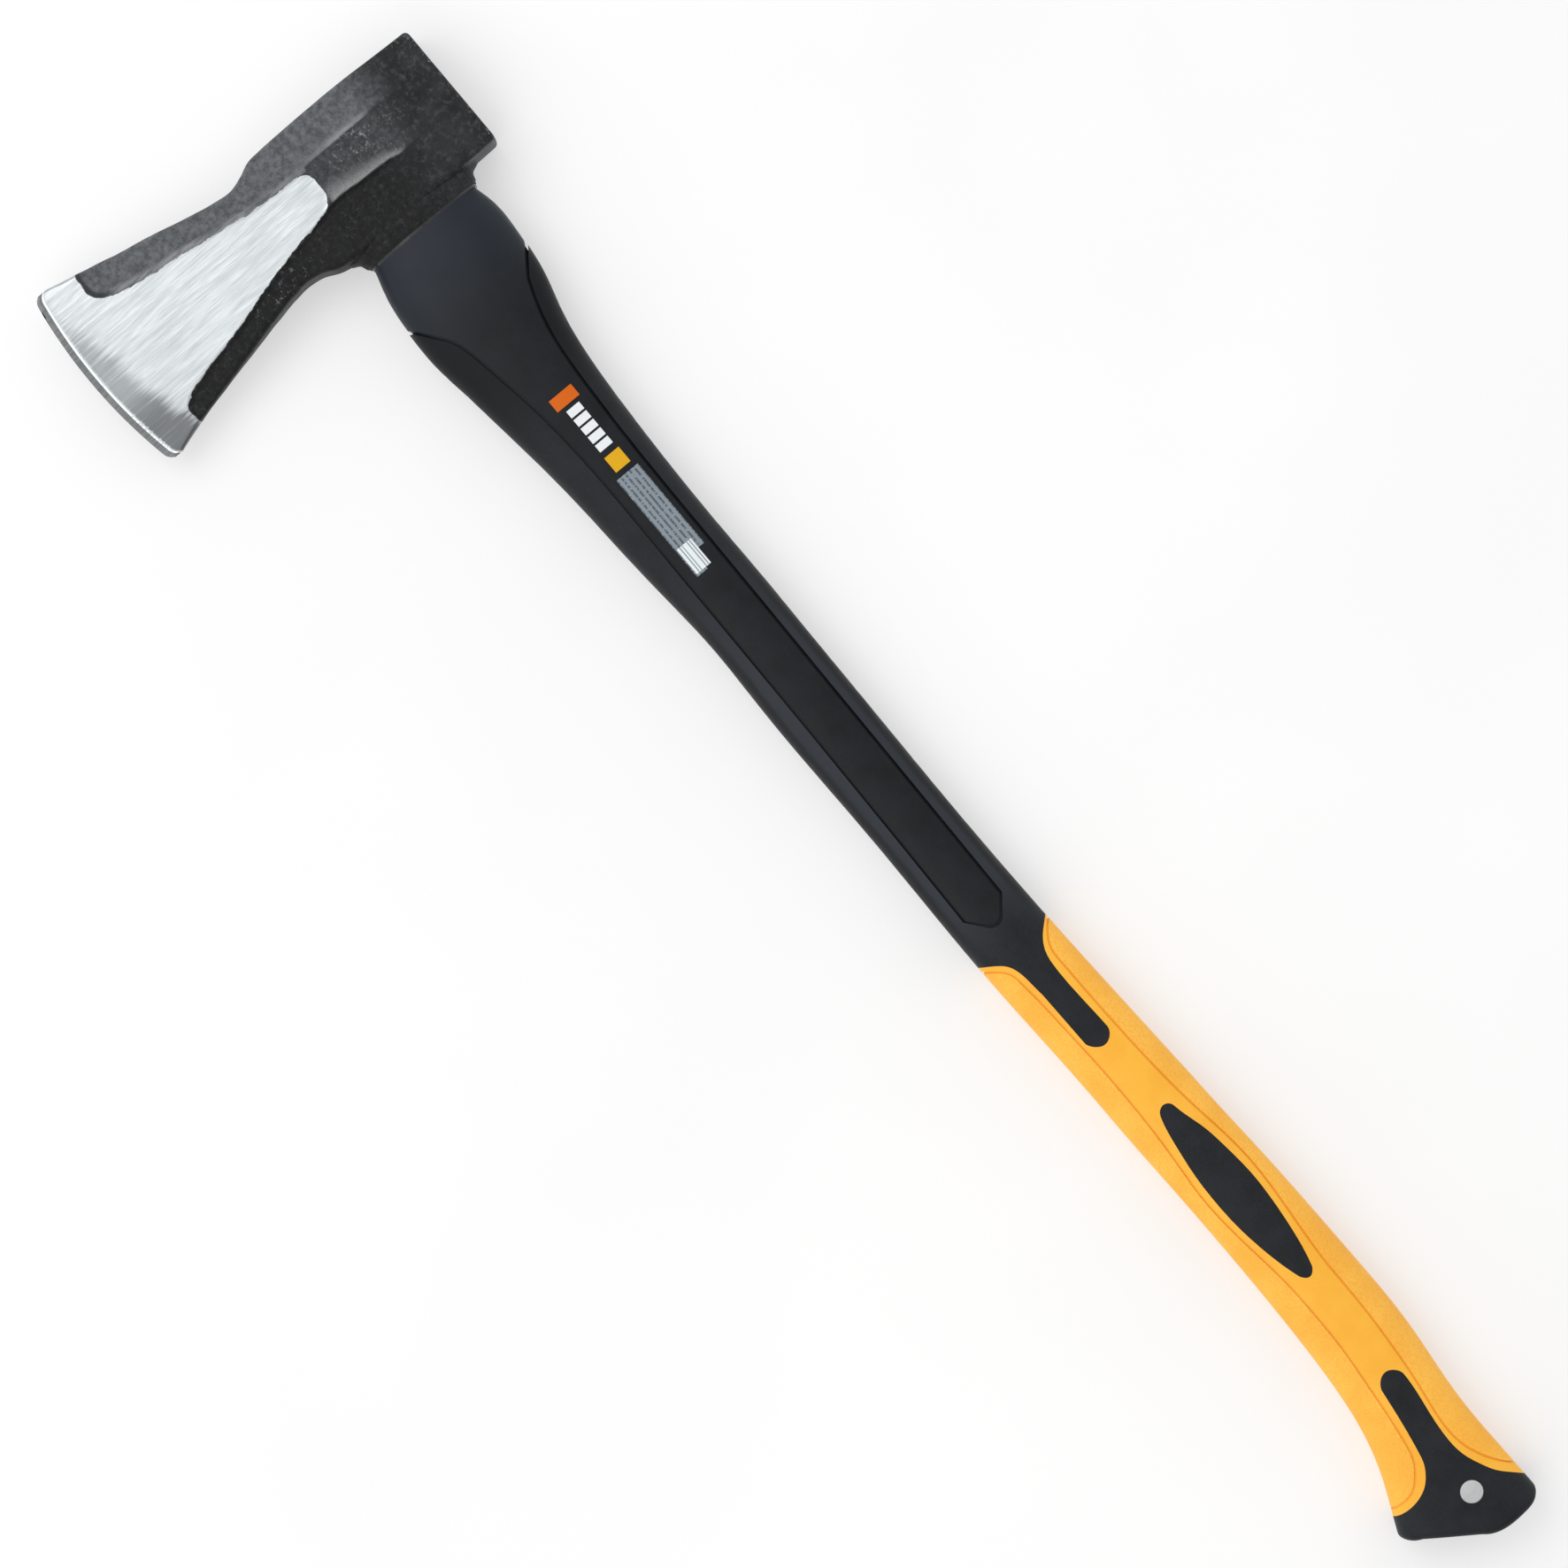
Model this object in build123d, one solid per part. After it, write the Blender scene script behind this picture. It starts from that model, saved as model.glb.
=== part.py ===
"""Long-handled splitting axe: forged wedge head bonded onto a moulded fibreglass handle.

Working frame while drawing: X runs along the handle toward the head, Y toward the cutting edge,
Z out of the upper cheek.  Stations along the handle are written as s, the distance below the foot
of the head (x = -s), so the head lies at negative s and the hand end at large s.
The finished pieces are shifted so that the axe lies on its cheek with Z = 0 at the lowest point.
"""
import os
from math import cos, sin, pi, hypot

from build123d import *

# ---------------------------------------------------------------- driving dimensions (millimetres)
BUTT_END = 824.8            # s of the lowest point of the handle
TOE_TIP = -97.0             # s of the upper tip of the cutting edge
POLL_FACE = -53.6           # y of the striking face
EDGE_CREST = 174.8          # y of the middle of the cutting edge
EDGE_RADIUS = 262.0         # curvature of the cutting edge in side view
EDGE_CENTRE_S = -47.5       # s of the middle of the cutting edge
CHEEK_HALF = 19.6           # half thickness of the head over the flat of the cheeks
KEEN_HALF = 0.2             # half thickness of the cutting edge itself
BEVEL_REACH = 12.0          # the sharpening bevel is drawn this far back from the edge
BEVEL_SLOPE = 0.29          # rise of the bevel per millimetre, each side

COLLAR_FOOT = -1.5          # s where the forged collar ends
SHOULDER_TOP = 0.0          # s where the moulded shoulder starts
HEAD_TOP = -80.4            # s of the flat top of the head

SLEEVE_TOP = 34.3           # s of the upper end of the black sleeve at the sides
GAP = 1.7                   # width of the seam between the sleeve and the panel
SHOULDER_STEP = 0.45        # the sleeve stands this much proud of shoulder and panel
SEAM_DEPTH = 1.5            # depth of the seam floor under the sleeve surface
SLEEVE_WALL = 3.0           # sleeve thickness over the jacket
GRIP_WALL = 1.8             # thickness of the coloured grip layer
GROOVE_WIDTH = 1.1          # finish groove round the textured grip zones
GROOVE_DEPTH = 0.75

CORE_HALF_WIDTH = 10.0      # pultruded rod, half size across the handle
CORE_HALF_THICK = 6.5
CORE_Y = 2.2
CORE_FOOT = 775.0
JACKET_FOOT = 784.0

HOLE_S = 799.6              # hanging hole
HOLE_Y = 6.2
HOLE_R = 5.3
EYELET_WALL = 0.4
EYELET_HALF = 15.4          # half length of the eyelet, a little under the butt's surface
BUTT_JOINT = 716.0          # s where the sleeve meets the hand-end cap, hidden under the grip

LABEL_THICK = 0.2
RIM_RADIUS = 4.0            # rounding of the butt's rims
POLL_RADIUS = 2.2           # rounding round the striking face
OVAL_POINTS = 20

# Handle skin: s, y of the blade side, y of the back, half thickness, fullness of the oval
HANDLE = [
    (-6.0, 33.4, -31.0, 16.4, 2.7),
    (8.0, 36.1, -33.0, 17.0, 2.7),
    (20.0, 38.9, -34.0, 17.5, 2.7),
    (33.0, 40.2, -33.0, 17.7, 2.7),
    (52.0, 40.6, -30.4, 17.5, 2.7),
    (69.0, 38.9, -25.8, 17.0, 2.65),
    (87.0, 36.7, -21.9, 16.5, 2.6),
    (106.0, 34.6, -19.6, 16.0, 2.6),
    (130.0, 32.1, -18.0, 15.5, 2.55),
    (165.0, 29.9, -16.6, 15.1, 2.5),
    (215.0, 27.2, -16.2, 14.6, 2.5),
    (275.0, 25.9, -15.9, 14.4, 2.5),
    (345.0, 26.0, -15.3, 14.3, 2.5),
    (410.0, 26.1, -15.2, 14.4, 2.5),
    (455.0, 26.2, -16.1, 14.7, 2.5),
    (500.0, 24.9, -17.7, 15.0, 2.45),
    (550.0, 23.9, -19.8, 15.3, 2.4),
    (600.0, 22.8, -21.9, 15.6, 2.4),
    (645.0, 22.3, -23.4, 15.8, 2.4),
    (685.0, 22.8, -24.1, 15.8, 2.4),
    (712.0, 24.0, -23.8, 15.8, 2.45),
    (732.0, 25.9, -22.2, 15.9, 2.55),
    (750.0, 29.2, -20.2, 16.0, 2.7),
    (766.0, 34.1, -19.1, 16.2, 2.9),
    (782.0, 41.0, -19.0, 16.4, 3.1),
    (799.0, 48.6, -19.4, 16.5, 3.3),
    (818.0, 56.0, -19.8, 16.5, 3.4),
    (840.0, 63.0, -20.0, 16.5, 3.4),
]

# Head sections across Y: y, s of the top edge, upper ridge line, lower ridge line and underside,
# half thickness along the edges and over the ridge
HEAD = [
    (-53.6, -78.6, -62.0, -36.0, -10.5, 17.9, 18.2),
    (-34.0, -79.3, -62.0, -36.5, -10.0, 18.3, 19.2),
    (-14.0, -80.3, -61.5, -37.5, -9.4, 17.5, 19.9),
    (8.0, -80.6, -60.5, -38.5, -9.2, 16.5, 20.1),
    (28.0, -80.4, -58.5, -39.0, -9.3, 15.4, 19.8),
    (39.0, -80.2, -58.8, -37.0, -9.9, 14.4, 18.9),
    (47.0, -79.5, -59.6, -35.2, -11.6, 13.6, 17.9),
    (54.0, -76.6, -60.4, -33.4, -14.7, 12.8, 16.8),
    (62.0, -74.4, -61.6, -31.6, -16.0, 12.0, 15.6),
    (72.0, -75.4, -63.0, -29.4, -15.1, 10.9, 14.2),
    (88.0, -78.9, -66.4, -26.4, -11.9, 9.1, 12.2),
    (105.0, -83.3, -69.4, -22.4, -8.0, 7.2, 10.1),
    (122.0, -87.0, -72.0, -18.6, -4.2, 5.3, 8.0),
    (140.0, -91.4, -75.4, -13.0, 0.0, 3.7, 5.7),
    (150.0, -93.8, -79.0, -8.0, 2.5, 3.7, 4.3),
    (164.0, -96.6, -82.0, -5.0, 6.2, 2.4, 2.7),
    (180.0, -99.9, -84.0, -3.0, 10.4, 1.5, 1.6),
]

# Forged collar under the head: s, y toward the blade, y toward the poll, half thickness
COLLAR = [
    (-16.0, 43.0, -41.0, 17.4),
    (-10.0, 41.4, -39.4, 17.6),
    (-7.8, 38.8, -36.6, 17.4),
    (-6.2, 36.9, -34.5, 17.2),
    (-3.6, 35.9, -33.6, 17.0),
    (COLLAR_FOOT, 34.9, -33.1, 16.8),
]

# Eye through the head: s, half length, half width
EYE_Y = 1.2
EYE = [
    (-90.0, 30.0, 13.6),
    (HEAD_TOP, 29.4, 13.3),
    (-40.0, 28.0, 12.6),
    (COLLAR_FOOT, 28.0, 12.6),
    (4.0, 28.0, 12.6),
]


# ---------------------------------------------------------------- shared shapes
def oval_section(s, blade, back, half, power, inset):
    """Closed super-elliptic section across the handle, shrunk by inset on every side."""
    centre = (blade + back) / 2
    reach = (blade - back) / 2 - inset
    depth = half - inset
    points = []
    for k in range(OVAL_POINTS):
        angle = 2 * pi * k / OVAL_POINTS
        c = cos(angle)
        d = sin(angle)
        y = reach * (1 if c >= 0 else -1) * abs(c) ** (2 / power)
        z = depth * (1 if d >= 0 else -1) * abs(d) ** (2 / power)
        points.append((-s, centre + y, z))
    return Face(Wire([Edge.make_spline(points, periodic=True)]))


def handle_skin(inset):
    """Solid bounded by the handle surface moved inward by inset, longer than the real handle."""
    return loft(sections=[oval_section(*row, inset) for row in HANDLE])


def flat(s, y):
    """A point of the side view."""
    return (-s, y)


def curve(points):
    """Smooth line through side-view points."""
    return Spline(*[flat(s, y) for s, y in points])


def straight(points):
    """Broken line through side-view points."""
    return Polyline(*[flat(s, y) for s, y in points])


def through(face, reach=60):
    """Prism of a side-view region, standing on both sides of the middle plane."""
    return extrude(face, amount=reach, both=True)


def slab(s_from, s_to, reach=200):
    """Block holding everything between two stations of the handle."""
    return Pos(-(s_from + s_to) / 2, 0, 0) * Box(s_to - s_from, 2 * reach, 2 * reach)


def butt_cut(inset):
    """Side-view region that ends the handle: slanted toe, flat heel, rounded corners."""
    lift = inset * 1.2
    outline = [
        straight([(802.9 - lift, 39.0), (819.4 - lift, 15.4)]),
        curve([(819.4 - lift, 15.4), (823.5 - lift, 8.4), (BUTT_END - inset, 0.5), (824.7 - inset, -7.0),
               (823.5 - inset, -14.5 + inset), (820.2 - inset, -18.8 + inset), (814.0 - inset, -20.6 + inset)]),
        straight([(814.0 - inset, -20.6 + inset), (790.0, -34.0), (700.0, -60.0), (-60.0, -60.0),
                  (-60.0, 80.0), (776.0, 80.0),
                  (792.6 - inset, 48.2 - inset / 2)]),
        curve([(792.6 - inset, 48.2 - inset / 2), (797.0 - lift, 46.6 - inset / 2), (802.9 - lift, 39.0)]),
    ]
    return make_face(outline)


def handle_body(inset):
    """Handle surface at the given depth, ended by the rounded butt."""
    body = handle_skin(inset) & through(butt_cut(inset))
    rim = [edge for edge in body.edges() if edge.center().X < -785.0]
    return fillet(rim, radius=RIM_RADIUS - inset / 2)


def ribbon(points, width):
    """Side-view strip of constant width that follows a line."""
    left = []
    right = []
    last = len(points) - 1
    for k, (s, y) in enumerate(points):
        before = points[max(k - 1, 0)]
        after = points[min(k + 1, last)]
        ds = after[0] - before[0]
        dy = after[1] - before[1]
        length = hypot(ds, dy)
        shift = width / 2 / length
        left.append((s - dy * shift, y + ds * shift))
        right.append((s + dy * shift, y - ds * shift))
    return make_face([
        curve(left),
        straight([left[-1], right[-1]]),
        curve(right[::-1]),
        straight([right[0], left[0]]),
    ])


# ---------------------------------------------------------------- regions seen from the side
def panel_window(gap):
    """Everything left open by the black sleeve: shoulder and panel, shrunk by gap."""
    g = gap
    n = gap * 0.7
    return make_face([
        straight([(SLEEVE_TOP - g, 60.0), (SLEEVE_TOP - g, 41.0 - n), (36.2 - n, 38.8 - n),
                  (44.3 - n, 33.0 - n), (50.6 - n, 28.2 - n)]),
        curve([(50.6 - n, 28.2 - n), (56.5, 25.6 - g), (66.2, 23.3 - g), (81.2, 20.8 - g), (106.0, 17.4 - g),
               (146.0, 15.0 - g), (200.0, 15.0 - g), (300.0, 15.7 - g), (428.5, 17.7 - g)]),
        straight([(428.5, 17.7 - g), (438.3 - g, 9.8 - n / 2)]),
        curve([(438.3 - g, 9.8 - n / 2), (440.3 - g, 5.6), (438.8 - g, 1.4 + n / 2)]),
        straight([(438.8 - g, 1.4 + n / 2), (429.0, -6.4 + g)]),
        curve([(429.0, -6.4 + g), (300.0, -7.8 + g), (200.0, -8.7 + g), (146.0, -9.3 + g), (104.0, -11.2 + g),
               (81.0, -13.6 + g), (66.0, -17.2 + g), (58.0, -20.0 + g), (52.0 - n, -22.4 + n)]),
        straight([(52.0 - n, -22.4 + n), (47.0 - n, -26.0 + n), (39.5 - n, -31.6 + n), (36.4 - n, -33.4 + n),
                  (SLEEVE_TOP - g, -35.0 + n), (SLEEVE_TOP - g, -60.0), (-60.0, -60.0), (-60.0, 60.0),
                  (SLEEVE_TOP - g, 60.0)]),
    ])


def grip_outline():
    """Whole coloured zone of the grip, between the black tongues."""
    return make_face([
        straight([(450.6, 60.0), (450.6, 26.0)]),
        curve([(450.6, 26.0), (454.4, 20.0), (459.3, 14.7), (464.4, 12.6), (471.0, 11.6), (480.0, 10.8)]),
        straight([(480.0, 10.8), (512.0, 10.2)]),
        curve([(512.0, 10.2), (516.2, 7.3), (518.2, 2.9), (516.2, -1.6), (511.6, -3.7)]),
        curve([(511.6, -3.7), (498.0, -3.1), (480.0, -2.5), (471.4, -2.8), (465.2, -3.9), (459.2, -7.1),
               (455.2, -11.0), (450.8, -16.4)]),
        straight([(450.8, -16.4), (450.8, -60.0), (815.0, -60.0), (812.0, -22.0), (810.6, -19.4)]),
        curve([(810.6, -19.4), (805.0, -14.7), (799.0, -9.6), (791.8, -5.8), (784.8, -3.0), (777.8, -1.6),
               (770.0, -1.5), (760.0, -2.4), (748.0, -4.2), (735.0, -5.4)]),
        curve([(735.0, -5.4), (730.4, -3.6), (727.9, 1.3), (730.6, 6.4), (735.0, 8.3)]),
        curve([(735.0, 8.3), (748.0, 10.1), (758.0, 11.7), (767.8, 13.6), (773.8, 15.2), (778.8, 18.1),
               (782.8, 22.0), (785.8, 28.0), (786.9, 34.0), (786.6, 40.0), (785.8, 43.5)]),
        straight([(785.8, 43.5), (784.0, 60.0), (450.6, 60.0)]),
    ])


def lens_outline():
    """Black island in the middle of the grip."""
    return make_face([
        curve([(558.8, 0.5), (560.6, 3.8), (564.6, 5.6), (578.7, 8.4), (593.6, 10.4), (610.0, 11.2),
               (628.4, 10.5), (645.0, 8.2), (658.2, 5.3), (665.6, 3.1)]),
        curve([(665.6, 3.1), (668.8, -0.9), (665.6, -4.9)]),
        curve([(665.6, -4.9), (658.2, -6.8), (645.0, -9.1), (628.4, -10.9), (612.0, -11.5), (594.0, -10.1),
               (578.7, -7.8), (565.0, -4.2), (560.6, -2.9), (558.8, 0.5)]),
    ])


GROOVE_BLADE = [
    (451.0, 32.0), (453.6, 26.4), (458.6, 19.6), (462.6, 16.4), (469.6, 14.9), (479.6, 14.0), (499.0, 13.0),
    (519.0, 12.0), (549.0, 11.6), (569.0, 12.1), (589.0, 13.5), (604.0, 14.6), (618.5, 14.4), (638.5, 12.6),
    (653.5, 10.8), (668.5, 9.6), (688.0, 9.2), (708.0, 9.7), (723.0, 11.1), (743.0, 13.2), (758.0, 15.2),
    (766.0, 16.8), (772.0, 19.2), (776.0, 22.3), (780.8, 27.4), (782.8, 35.0), (782.2, 42.0), (780.0, 52.0),
]
GROOVE_BACK = [
    (450.0, -22.0), (453.4, -15.6), (459.4, -10.0), (464.4, -7.4), (474.6, -6.6), (489.6, -6.8), (519.0, -7.6),
    (549.0, -9.2), (569.0, -11.2), (589.0, -13.9), (609.0, -15.2), (628.5, -14.4), (648.5, -12.6),
    (668.5, -11.3), (688.5, -11.3), (708.5, -10.7), (723.5, -9.6), (738.5, -8.2), (753.5, -5.9), (768.0, -4.4),
    (778.0, -5.2), (787.0, -8.2), (796.0, -13.2), (802.6, -18.6), (808.0, -26.0),
]


# ---------------------------------------------------------------- head
def head_section(y, top, ridge_top, ridge_low, bottom, edge_half, ridge_half):
    """Eight-sided section of the head at one distance from the handle axis."""
    corners = [
        (-top, y, edge_half),
        (-ridge_top, y, ridge_half),
        (-ridge_low, y, ridge_half),
        (-bottom, y, edge_half),
        (-bottom, y, -edge_half),
        (-ridge_low, y, -ridge_half),
        (-ridge_top, y, -ridge_half),
        (-top, y, -edge_half),
    ]
    return Face(Wire(Polyline(*corners, close=True).edges()))


def edge_disc():
    """Round disc with a sharp rim: its rim is the bowed cutting edge with its sharpening bevels."""
    body = EDGE_RADIUS - BEVEL_REACH
    thick = KEEN_HALF + BEVEL_SLOPE * BEVEL_REACH
    profile = Polyline(
        (0, 0, -60),
        (body, 0, -60),
        (body, 0, -thick),
        (EDGE_RADIUS, 0, -KEEN_HALF),
        (EDGE_RADIUS, 0, KEEN_HALF),
        (body, 0, thick),
        (body, 0, 60),
        (0, 0, 60),
        close=True,
    )
    disc = revolve(make_face(profile), axis=Axis.Z)
    return Pos(-EDGE_CENTRE_S, EDGE_CREST - EDGE_RADIUS, 0) * disc


def tip_outline():
    """Side-view region that rounds off the two ends of the cutting edge."""
    return make_face([
        straight([(-60.0, -90.0), (-110.0, -90.0), (-110.0, 140.0), (-99.5, 160.0)]),
        curve([(-99.5, 160.0), (-97.9, 164.5), (-96.7, 167.8), (-94.6, 170.2), (-90.0, 173.2)]),
        straight([(-90.0, 173.2), (-80.0, 180.0), (-12.0, 180.0), (-1.0, 172.8)]),
        curve([(-1.0, 172.8), (3.2, 170.4), (5.5, 168.3), (6.7, 165.0), (8.6, 160.0)]),
        straight([(8.6, 160.0), (20.0, 140.0), (20.0, -90.0), (-60.0, -90.0)]),
    ])


def make_head():
    """Forged wedge with curved edge, collar underneath and an oval eye for the handle."""
    wedge = loft(sections=[head_section(*row) for row in HEAD])
    wedge = wedge & through(tip_outline(), CHEEK_HALF) & edge_disc()
    rim = [edge for edge in wedge.edges() if edge.center().Y < POLL_FACE + 0.5]
    wedge = fillet(rim, radius=POLL_RADIUS)
    collar = loft(sections=[oval_section(s, blade, back, half, 2.6, 0.0) for s, blade, back, half in COLLAR])
    head = wedge + collar
    return head - make_eye()


def make_eye():
    """Opening that receives the handle."""
    return loft(sections=[oval_section(s, EYE_Y + reach, EYE_Y - reach, half, 2.3, 0.0) for s, reach, half in EYE])


# ---------------------------------------------------------------- handle
def make_core():
    """Straight pultruded rod running from the head down into the butt."""
    return loft(sections=[
        oval_section(s, CORE_Y + CORE_HALF_WIDTH, CORE_Y - CORE_HALF_WIDTH, CORE_HALF_THICK, 3.2, 0.0)
        for s in (HEAD_TOP + 0.4, CORE_FOOT)
    ])


def make_resin(core):
    """Bonding resin that fills the eye and shows as a thin bead under the collar."""
    fill = make_eye() & slab(HEAD_TOP + 0.8, COLLAR_FOOT)
    bead = loft(sections=[
        oval_section(s, 34.4, -32.5, 16.8, 2.6, 0.7)
        for s in (COLLAR_FOOT, SHOULDER_TOP)
    ])
    return fill + bead - core


def make_jacket(core):
    """Hard moulding round the rod: bare shoulder at the top, raised panel on both faces."""
    buried = handle_skin(SLEEVE_WALL) & slab(SHOULDER_TOP, JACKET_FOOT)
    seam_floor = handle_skin(SEAM_DEPTH) & slab(SHOULDER_TOP, 460.0) & through(panel_window(0.0))
    shown = handle_skin(SHOULDER_STEP) & slab(SHOULDER_TOP, 460.0) & through(panel_window(GAP))
    return buried + seam_floor + shown - core


def make_hole(radius, half=40.0):
    """Round prism across the butt."""
    return Pos(-HOLE_S, HOLE_Y, 0) * Cylinder(radius, 2 * half)


def make_grip(body, under_grip, zone):
    """Two-shot coloured layer with finish grooves, open round the black islands."""
    grooves = through(ribbon(GROOVE_BLADE, GROOVE_WIDTH)) + through(ribbon(GROOVE_BACK, GROOVE_WIDTH))
    surface = body - grooves + handle_body(GROOVE_DEPTH)
    return (surface & zone) - under_grip


def make_sleeve(body, under_grip, zone):
    """All black over-moulding: rails beside the panel, islands in the grip and the whole butt."""
    sleeve = (body - zone) + under_grip
    sleeve -= through(panel_window(0.0))
    sleeve -= handle_skin(SLEEVE_WALL) & slab(-20.0, JACKET_FOOT)
    return sleeve - make_hole(HOLE_R + EYELET_WALL)


def make_eyelet():
    """Thin metal tube that lines the hanging hole."""
    return make_hole(HOLE_R + EYELET_WALL, EYELET_HALF) - make_hole(HOLE_R)


# ---------------------------------------------------------------- printed foils on the panel
def make_film():
    """Thin layer that follows the panel surface where the print lies, upper face only."""
    film = handle_skin(SHOULDER_STEP - LABEL_THICK) - handle_skin(SHOULDER_STEP)
    return film & (Pos(-160.0, 2.0, 20.0) * Box(130.0, 20.0, 40.0))


def block(s_from, s_to, y_from, y_to):
    """Rectangular prism over the upper face."""
    return Pos(-(s_from + s_to) / 2, (y_from + y_to) / 2, 20.0) * Box(s_to - s_from, y_to - y_from, 40.0)


def make_prints():
    """Plain prints on the panel: tag, bars, chip, grey strip and white patch."""
    film = make_film()
    patch = block(199.6, 215.0, -1.0, 8.0)
    strip = block(155.0, 216.2, 2.2, 8.8) + block(155.0, 205.4, -4.7, 2.2) - patch
    bars = [film & block(113.6 + 5.4 * k, 117.8 + 5.4 * k, -2.0, 6.0) for k in range(5)]
    return {
        "print_weight_tag": film & block(104.4, 111.2, -4.5, 9.4),
        "print_name_bars": Compound(children=bars),
        "print_colour_chip": film & block(142.8, 151.9, -2.7, 6.4),
        "print_info_strip": film & strip,
        "print_code_patch": film & patch,
    }


# ---------------------------------------------------------------- assembly
def main():
    core = make_core()
    body = handle_body(0.0)
    under_grip = handle_body(GRIP_WALL)
    zone = through(grip_outline()) - through(lens_outline())
    black = make_sleeve(body, under_grip, zone)
    pieces = {
        "axe_head": make_head(),
        "eye_resin": make_resin(core),
        "fibreglass_core": core,
        "handle_jacket": make_jacket(core),
        "outer_sleeve": black & slab(-20.0, BUTT_JOINT),
        "butt_cap": black & slab(BUTT_JOINT, 860.0),
        "grip_overmould": make_grip(body, under_grip, zone),
        "hole_eyelet": make_eyelet(),
    }
    pieces.update(make_prints())
    middle_s = (TOE_TIP + BUTT_END) / 2
    middle_y = (POLL_FACE + EDGE_CREST) / 2
    place = Pos(middle_s, -middle_y, CHEEK_HALF)
    os.makedirs("parts", exist_ok=True)
    for name, shape in pieces.items():
        export_step(place * shape, f"parts/{name}.step")


main()
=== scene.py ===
"""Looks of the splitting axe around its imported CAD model."""
import math

import bpy
import numpy as np
from mathutils import Matrix, Vector, noise


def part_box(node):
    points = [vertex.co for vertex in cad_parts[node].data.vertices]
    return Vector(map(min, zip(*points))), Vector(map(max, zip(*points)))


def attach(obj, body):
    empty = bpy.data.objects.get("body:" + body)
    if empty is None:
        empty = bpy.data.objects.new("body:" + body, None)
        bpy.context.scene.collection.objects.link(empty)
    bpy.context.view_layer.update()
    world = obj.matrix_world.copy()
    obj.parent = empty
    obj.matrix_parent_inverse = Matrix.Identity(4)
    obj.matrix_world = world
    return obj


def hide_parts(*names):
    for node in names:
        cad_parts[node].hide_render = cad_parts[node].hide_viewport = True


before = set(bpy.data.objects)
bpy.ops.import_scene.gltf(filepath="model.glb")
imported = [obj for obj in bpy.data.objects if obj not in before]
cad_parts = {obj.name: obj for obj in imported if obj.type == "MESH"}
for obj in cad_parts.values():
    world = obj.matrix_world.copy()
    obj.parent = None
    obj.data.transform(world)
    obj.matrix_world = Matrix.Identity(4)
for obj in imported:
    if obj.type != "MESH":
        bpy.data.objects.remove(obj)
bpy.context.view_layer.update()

MM = 0.001
CREASE = math.radians(30.0)          # edges sharper than this stay sharp
HEAD_CREASE = math.radians(38.0)

# ------------------------------------------------------------------ places taken from the CAD frame
HEAD_LOW, HEAD_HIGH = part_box("axe_head")
JACKET_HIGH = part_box("handle_jacket")[1]
POLL_Y = -53.6                       # mm, striking face in the axe's own frame
# Zero of the axe's own frame: top of the jacket, line of the handle, middle plane of the head
ORIGIN = Vector((JACKET_HIGH.x, HEAD_LOW.y - POLL_Y * MM, (HEAD_LOW.z + HEAD_HIGH.z) / 2))


def to_row(s, y, z):
    """Axe frame in mm (s down the handle, y toward the edge, z out of the cheek) to the row frame."""
    return np.stack([ORIGIN.x - np.asarray(s) * MM, ORIGIN.y + np.asarray(y) * MM,
                     ORIGIN.z + np.asarray(z) * MM], axis=-1)


def to_axe(points):
    """Row frame in metres back to the axe's own frame in mm."""
    p = np.asarray(points)
    return (ORIGIN.x - p[..., 0]) / MM, (p[..., 1] - ORIGIN.y) / MM, (p[..., 2] - ORIGIN.z) / MM


def row_x(s):
    """Row X in metres of a place down the handle in mm."""
    return ORIGIN.x - s * MM


# ------------------------------------------------------------------ small numeric helpers
def smooth(low, high, x):
    """Soft step from 0 at low to 1 at high; low may be the larger of the two."""
    t = np.clip((np.asarray(x, float) - low) / (high - low), 0.0, 1.0)
    return t * t * (3 - 2 * t)


def spline(xs, ys, x):
    """Cubic curve through a few points, held level past both ends."""
    xs = np.asarray(xs, float)
    ys = np.asarray(ys, float)
    x = np.clip(np.asarray(x, float), xs[0], xs[-1])
    slope = np.gradient(ys, xs)
    k = np.clip(np.searchsorted(xs, x) - 1, 0, len(xs) - 2)
    h = xs[k + 1] - xs[k]
    t = (x - xs[k]) / h
    return ((2 * t**3 - 3 * t**2 + 1) * ys[k] + (t**3 - 2 * t**2 + t) * h * slope[k]
            + (-2 * t**3 + 3 * t**2) * ys[k + 1] + (t**3 - t**2) * h * slope[k + 1])


def rounded_line(points, steps=6):
    """Catmull-Rom line through a few side-view points."""
    p = np.asarray(points, float)
    p = np.vstack([2 * p[0] - p[1], p, 2 * p[-1] - p[-2]])
    out = []
    for k in range(1, len(p) - 2):
        for j in range(steps):
            t = j / steps
            a, b, c, d = p[k - 1], p[k], p[k + 1], p[k + 2]
            out.append(0.5 * (2 * b + (c - a) * t + (2 * a - 5 * b + 4 * c - d) * t**2
                              + (3 * b - a - 3 * c + d) * t**3))
    out.append(p[-2])
    return np.array(out)


def distance(line, s, y):
    """Distance from many points to a broken line."""
    best = np.full(np.shape(s), 1e9)
    for (s0, y0), (s1, y1) in zip(line[:-1], line[1:]):
        ds, dy = s1 - s0, y1 - y0
        t = np.clip(((s - s0) * ds + (y - y0) * dy) / (ds * ds + dy * dy + 1e-12), 0, 1)
        best = np.minimum(best, np.hypot(s - s0 - t * ds, y - y0 - t * dy))
    return best


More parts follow.
